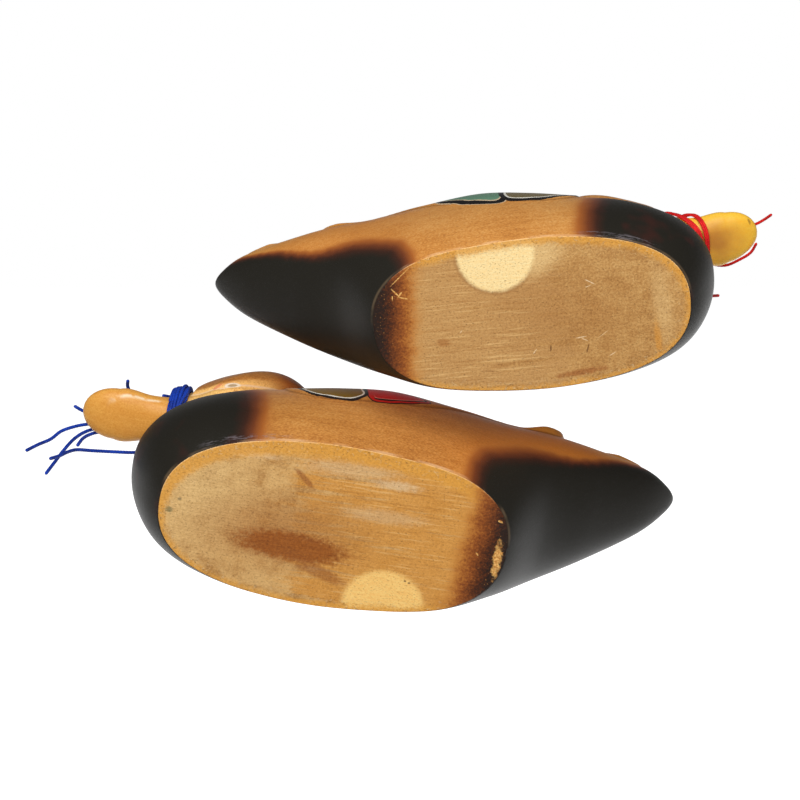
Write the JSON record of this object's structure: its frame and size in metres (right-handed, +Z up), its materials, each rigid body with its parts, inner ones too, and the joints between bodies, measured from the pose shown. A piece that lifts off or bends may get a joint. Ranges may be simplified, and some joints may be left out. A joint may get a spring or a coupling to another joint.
{
  "type": "mandarin duck pair",
  "caption": "Carved wooden mandarin duck pair with flat undersides, scorched breasts and tails, painted wings and a thread tied round each bill.",
  "frame": {"origin": "on the ground, in the middle of the pair without the free thread ends", "axes": "+Z up; +X along the ducks, roughly the way the duck with the red thread faces; the other faces the opposite way, on the +Y side"},
  "size_m": [0.1964, 0.1113, 0.073],
  "materials": {
    "wood": "glossy lacquer, scorched black at breast and tail, plain sanded undersides",
    "blue_thread": "twisted thread",
    "red_thread": "twisted thread"
  },
  "bodies": {
    "root": {"blue_thread_duck": "wood", "red_thread_duck": "wood", "blue_thread_winding": "blue_thread", "red_thread_winding": "red_thread", "blue_thread_end_1": "blue_thread", "blue_thread_end_2": "blue_thread", "blue_thread_end_3": "blue_thread", "blue_thread_end_4": "blue_thread", "blue_thread_end_5": "blue_thread", "red_thread_end_1": "red_thread", "red_thread_end_2": "red_thread", "red_thread_end_3": "red_thread"}
  },
  "joints": []
}
